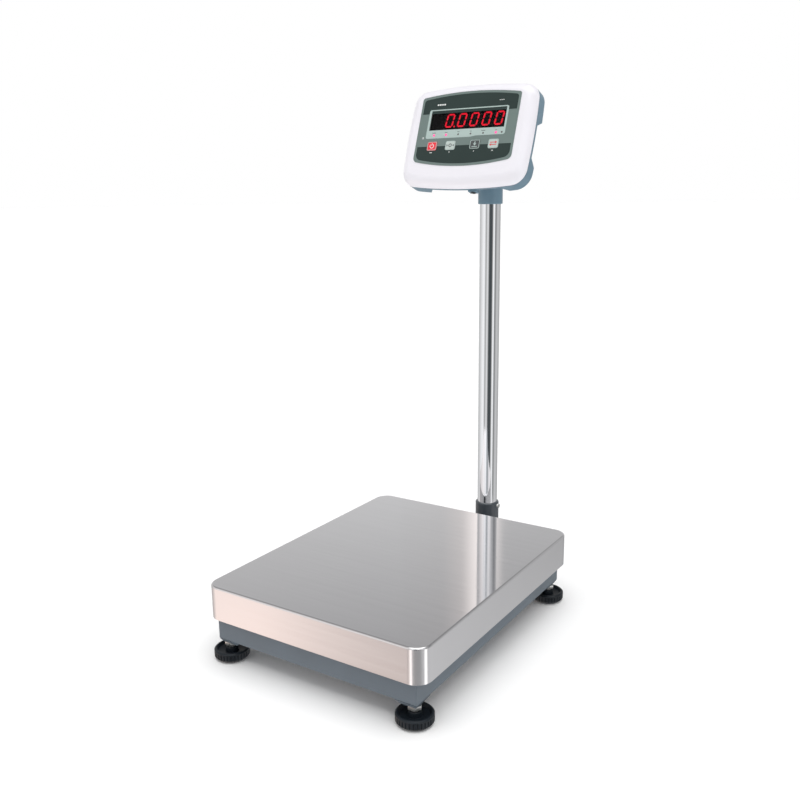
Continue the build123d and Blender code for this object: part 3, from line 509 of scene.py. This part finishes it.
def legends():
    """Tiny generic marks over the lamps, under the keys and in the upper band."""
    marks = []
    for x, width in zip(LAMP_X, LAMP_MARK_WIDTHS):
        marks += dashes(x, width, 1.5, 0.68, LAMP_Y + LAMP_MARK_LOW, LAMP_Y + LAMP_MARK_HIGH)
    printed("print_lamp_marks", marks, third_print, print_ink)
    marks = []
    for x, width in zip(KEY_X.values(), KEY_MARK_WIDTHS):
        marks += dashes(x, width, 1.3, 0.72, KEY_Y + KEY_MARK_LOW, KEY_Y + KEY_MARK_HIGH)
    printed("print_key_marks", marks, second_print, print_white)
    upper = [[rectangle(left, left + 3.2, 52.4, 55, 0.4, 3)] for left in (-64, -59.6, -55.2, -50.8)]
    upper += [[rectangle(left, left + 2, 54.6, 55.8, 0.3, 3)] for left in (56, 59.4, 62.8)]
    printed("print_upper_marks", upper, second_print, print_white)
    side = [[rectangle(-83.2, -80.8, -5.9, -4, 0.6, 3)], [rectangle(-82.4, -81.6, -8, -6.3, 0.2, 2)]]
    printed("print_side_mark", side, first_print, print_white)


upper_band()
lower_band()
light_panel()
legends()


# ---------------------------------------------------------------- display and lamps
DIGIT_PLACES = 6
DIGIT_POINT_X, DIGIT_POINT_Y, DIGIT_POINT_R = 9.8, 1.5, 1.3
UNLIT_LOW, UNLIT_HIGH = -3.2, -3.0
LIT_MARGIN, DARK_GAP = 0.6, 0.1


def unlit_bars():
    """The dark segments that show faintly behind the window: all of the first place, no second point."""
    across, up = (DIGIT_WIDTH - DIGIT_STROKE) / 2, (DIGIT_HEIGHT - DIGIT_STROKE) / 2
    lean = up * tan(DIGIT_SLANT)
    shapes = []
    for place in range(DIGIT_PLACES):
        x = DIGIT_PITCH * (place - (DIGIT_PLACES - 1) / 2)
        left, right, low, high = x - across, x + across, WINDOW_Y - up, WINDOW_Y + up
        ring = [(left - lean, low), (right - lean, low), (right, WINDOW_Y),
                (right + lean, high), (left + lean, high), (left, WINDOW_Y)]
        shapes.append([segment(ring[5], ring[2])])
        if place == 0:
            shapes += [[segment(start, end)] for start, end in zip(ring, ring[1:] + ring[:1])]
        if place != 1:
            point_y = WINDOW_Y - DIGIT_HEIGHT / 2 + DIGIT_POINT_Y
            shapes.append([disc(x + DIGIT_POINT_X, point_y, DIGIT_POINT_R)])
    flat_piece("unlit_bars", shapes, UNLIT_LOW, UNLIT_HIGH, unlit_segment, "head")


def lamp_caps(name, lit, radius, top, material):
    """Caps on the lit lamps, or on the others."""
    shapes = [[disc(x, LAMP_Y, radius)] for i, x in enumerate(LAMP_X) if (i in LAMPS_LIT) == lit]
    flat_piece(name, shapes, top - PRINT, top, material, "head")


unlit_bars()
lamp_caps("lamp_caps_lit", True, LAMP_R + LIT_MARGIN, third_print + PRINT, lamp_lit)
lamp_caps("lamp_caps_dark", False, LAMP_R - DARK_GAP, third_print, finishes["lamp_red"])


# ---------------------------------------------------------------- the keys' prints
KEY_EDGE, KEY_LINE = 0.4, 1
ICON_STROKE, ARROW_STROKE = 1.1, 1.2


def key_outline(x, inset):
    """A key's rounded outline, drawn in from its edge."""
    half_x, half_y = KEY_WIDTH / 2 - inset, KEY_HEIGHT / 2 - inset
    return rectangle(x - half_x, x + half_x, KEY_Y - half_y, KEY_Y + half_y, KEY_CORNER - inset)


def key_icons():
    """Pale outlines and generic pictograms, on the keys and moving with them."""
    inks = {"power": print_white, "zero": print_ink, "tare": print_light, "mode": print_red}
    for key, x in KEY_X.items():
        body = f"key_{key}"
        line = [[key_outline(x, KEY_EDGE), key_outline(x, KEY_EDGE + KEY_LINE)]]
        for part, shapes, ink in (("outline", line, print_light), ("icon", icon(key, x, KEY_Y), inks[key])):
            flat_piece(f"{body}_{part}", shapes, KEY_TOP, KEY_TOP + PRINT, ink, body)


def icon(key, x, y):
    """The pictogram of one key: on and off, back to nought, take off the load, next unit."""
    if key == "power":
        return [[arc(x, y, 3.6, ICON_STROKE, 125, 415)], [bar((x, y + 0.6), (x, y + 5), ICON_STROKE)]]
    if key == "zero":
        ring = [disc(x, y, 3.1), disc(x, y, 1.9)]
        left = [(x - 4.2, y), (x - 7, y - 1.9), (x - 7, y + 1.9)]
        right = [(x + 4.2, y), (x + 7, y + 1.9), (x + 7, y - 1.9)]
        return [ring, [left], [right]]
    if key == "tare":
        arrow = [(x, y - 2.4), (x + 3.2, y + 1.4), (x + 1, y + 1.4), (x + 1, y + 4.6), (x - 1, y + 4.6),
                 (x - 1, y + 1.4), (x - 3.2, y + 1.4)]
        return [[arrow], [bar((x - 5, y - 4), (x + 5, y - 4), ICON_STROKE)]]
    head_right = [(x + 7, y + 2), (x + 3.4, y + 4.4), (x + 3.4, y - 0.4)]
    head_left = [(x - 7, y - 2), (x - 3.4, y - 4.4), (x - 3.4, y + 0.4)]
    return [[bar((x - 6, y + 2), (x + 3.4, y + 2), ARROW_STROKE)], [head_right],
            [bar((x - 3.4, y - 2), (x + 6, y - 2), ARROW_STROKE)], [head_left]]


key_icons()


# ---------------------------------------------------------------- stage
FLOOR_HALF = 60
SOFT_LEVEL = 0.58
# What polished parts mirror, round the room, as (degrees to the right of the camera's side, level, warmth):
# below the horizon, at its height, just above it and high up.
GROUND_STRIPS = (
    (-180, 0.5, 0), (-120, 0.9, 0.12), (-92, 1.9, 0.2), (-76, 1.75, 0.2), (-72, 0.98, 0.18),
    (-66, 0.8, 0.17), (-52, 0.95, 0.14), (-46, 2.2, 0.1), (-36, 2.2, 0.08), (-28, 0.65, 0.05),
    (10, 0.55, 0), (48, 0.6, 0), (56, 2.6, 0.02), (66, 2.6, 0.02), (74, 0.9, 0), (90, 0.85, 0),
    (115, 0.9, 0), (120, 0.82, 0), (123, 0.7, 0), (130, 0.7, 0), (145, 0.4, -0.1), (180, 0.5, 0),
)
WALL_STRIPS = (
    (-180, 0.62, 0), (-128, 0.6, 0), (-93, 0.9, 0), (-70, 1.02, 0), (-58, 0.8, 0), (-49, 0.34, 0),
    (-40, 0.62, 0), (-27, 0.85, 0), (-19, 0.5, 0), (-12, 0.1, -0.1), (2, 0.06, -0.15),
    (19, 0.085, -0.1), (27, 0.4, 0), (34, 0.95, 0), (48, 0.95, 0), (57, 0.18, -0.05), (66, 0.32, 0),
    (86, 0.62, 0), (117, 0.5, 0), (142, 0.42, 0), (180, 0.62, 0),
)
CEILING_STRIPS = (
    (-180, 1.12, 0), (-125, 0.9, 0.02), (-100, 1.3, 0.06), (-75, 1.5, 0.05), (-55, 1.8, 0.03),
    (-28, 1.9, 0), (-19, 0.6, -0.08), (-4, 0.5, -0.08), (3, 0.9, 0), (10, 1.45, 0.03),
    (36, 1.45, 0.03), (45, 0.5, 0), (84, 0.15, -0.1), (100, 0.5, 0), (125, 0.8, 0),
    (173.8, 0.95, 0), (174.5, 1.8, 0.07), (175.1, 1.4, 0.07), (175.6, 1.2, 0.05),
    (176.2, 1.08, 0.01), (180, 1.1, 0),
)
HIGH_STRIPS = (
    (-180, 0.33, 0), (-110, 0.5, 0), (-62, 0.9, 0.05), (-47, 0.85, 0.03), (-41, 0.35, 0),
    (-33, 0.95, 0), (-14, 1.0, 0), (-7, 0.35, 0), (0, 0.95, 0), (26, 1.0, 0), (34, 0.35, 0),
    (42, 0.95, 0), (72, 0.8, 0), (90, 0.3, 0), (140, 0.33, 0), (173.8, 0.33, 0),
    (174.5, 1.8, 0.07), (175.1, 1.15, 0.07), (175.6, 0.55, 0.06), (176.2, 0.33, 0.01), (180, 0.33, 0),
)
# Where one set of strips gives way to the next, as the upward part of the direction.
GROUND_TO_WALL, WALL_TO_CEILING, CEILING_TO_HIGH = (-0.4, -0.33), (0.02, 0.14), (0.15, 0.6)
WARM_GREEN, WARM_BLUE = 1.0, 1.45


def pale_floor():
    """A wide pale floor that polished parts don't mirror."""
    mesh = bmesh.new()
    bmesh.ops.create_grid(mesh, x_segments=4, y_segments=4, size=FLOOR_HALF)
    data = bpy.data.meshes.new("floor")
    mesh.to_mesh(data)
    mesh.free()
    paper = finish("floor_paper", (0.98, 0.98, 0.98), 0.9, mottle=0.005, rough_span=0.02, grain=300)
    data.materials.append(paper)
    floor = bpy.data.objects.new("floor", data)
    floor.visible_glossy = False
    bpy.context.scene.collection.objects.link(floor)


def area_light(name, place, aim, size, power, tint=(1, 1, 1)):
    """A square soft light that polished parts don't mirror."""
    data = bpy.data.lights.new(name, "AREA")
    data.shape, data.size, data.energy, data.color = "SQUARE", size, power, tint
    light = bpy.data.objects.new(name, data)
    light.location = place
    light.rotation_euler = (Vector(aim) - Vector(place)).to_track_quat("-Z", "Y").to_euler()
    light.visible_glossy = False
    bpy.context.scene.collection.objects.link(light)


def sun_light(name, towards, power, spread):
    """Soft light that falls evenly on the whole floor; towards points at where it comes from."""
    data = bpy.data.lights.new(name, "SUN")
    data.energy, data.angle = power, radians(spread)
    light = bpy.data.objects.new(name, data)
    light.rotation_euler = (-Vector(towards)).to_track_quat("-Z", "Y").to_euler()
    bpy.context.scene.collection.objects.link(light)


def strip_ramp(nodes, heading, strips):
    """One set of strips as a colour ramp round the room."""
    ramp = nodes.add("ShaderNodeValToRGB")
    stops = ramp.color_ramp.elements
    for index, (angle, level, warmth) in enumerate(strips):
        place = (angle + 180) / 360
        if index == 0:
            stop = stops[0]
        elif index == len(strips) - 1:
            stop = stops[-1]
        else:
            stop = stops.new(place)
        stop.position = place
        stop.color = (level, level * (1 - WARM_GREEN * warmth), level * (1 - WARM_BLUE * warmth), 1)
    nodes.link(heading, ramp.inputs[0])
    return ramp.outputs[0]


def studio_world():
    """A white studio, even to matt surfaces, with dark and bright strips by direction to polished ones."""
    world = bpy.data.worlds.new("studio")
    world.use_nodes = True
    bpy.context.scene.world = world
    nodes = Nodes(world.node_tree)
    background = world.node_tree.nodes["Background"]
    output = world.node_tree.nodes["World Output"]
    direction = nodes.add("ShaderNodeTexCoord").outputs["Generated"]
    split = nodes.add("ShaderNodeSeparateXYZ")
    nodes.link(direction, split.inputs[0])
    # 0 and 1 are on the side away from the camera, and 0.5 is on the camera's side.
    turn = nodes.math("ARCTAN2", split.outputs["X"], nodes.math("MULTIPLY", split.outputs["Y"], -1.0))
    turn = nodes.math("ADD", nodes.math("SUBTRACT", turn, CAMERA_AZIMUTH), 3 * pi)
    heading = nodes.math("DIVIDE", nodes.math("MODULO", turn, 2 * pi), 2 * pi)
    ground, walls, ceiling, high = (
        strip_ramp(nodes, heading, strips)
        for strips in (GROUND_STRIPS, WALL_STRIPS, CEILING_STRIPS, HIGH_STRIPS))
    upper = nodes.mix(nodes.span(split.outputs["Z"], 0, 1, *CEILING_TO_HIGH), ceiling, high)
    level = nodes.mix(nodes.span(split.outputs["Z"], 0, 1, *GROUND_TO_WALL), ground, walls)
    level = nodes.mix(nodes.span(split.outputs["Z"], 0, 1, *WALL_TO_CEILING), level, upper)
    nodes.link(level, background.inputs["Color"])
    rays = nodes.add("ShaderNodeLightPath")
    surface = background.outputs[0]
    for kind, plain in (("Is Diffuse Ray", SOFT_LEVEL), ("Is Camera Ray", 1.0)):
        even = nodes.add("ShaderNodeBackground")
        even.inputs["Color"].default_value = (plain, plain, plain, 1)
        chosen = nodes.add("ShaderNodeMixShader")
        nodes.link(rays.outputs[kind], chosen.inputs[0])
        nodes.link(surface, chosen.inputs[1])
        nodes.link(even.outputs[0], chosen.inputs[2])
        surface = chosen.outputs[0]
    nodes.link(surface, output.inputs["Surface"])


pale_floor()
studio_world()
sun_light("daylight", towards=(0.1, -0.05, 0.99), power=1.65, spread=55)
area_light("key", place=(-1.5, -1.7, 3.4), aim=(0, 0, 0.5), size=1.4, power=7, tint=(1.0, 0.985, 0.97))
area_light("side_fill", place=(2.1, -1.5, 1.3), aim=(0, 0.1, 0.6), size=1.6, power=5)
bpy.context.scene.view_settings.view_transform = "Standard"
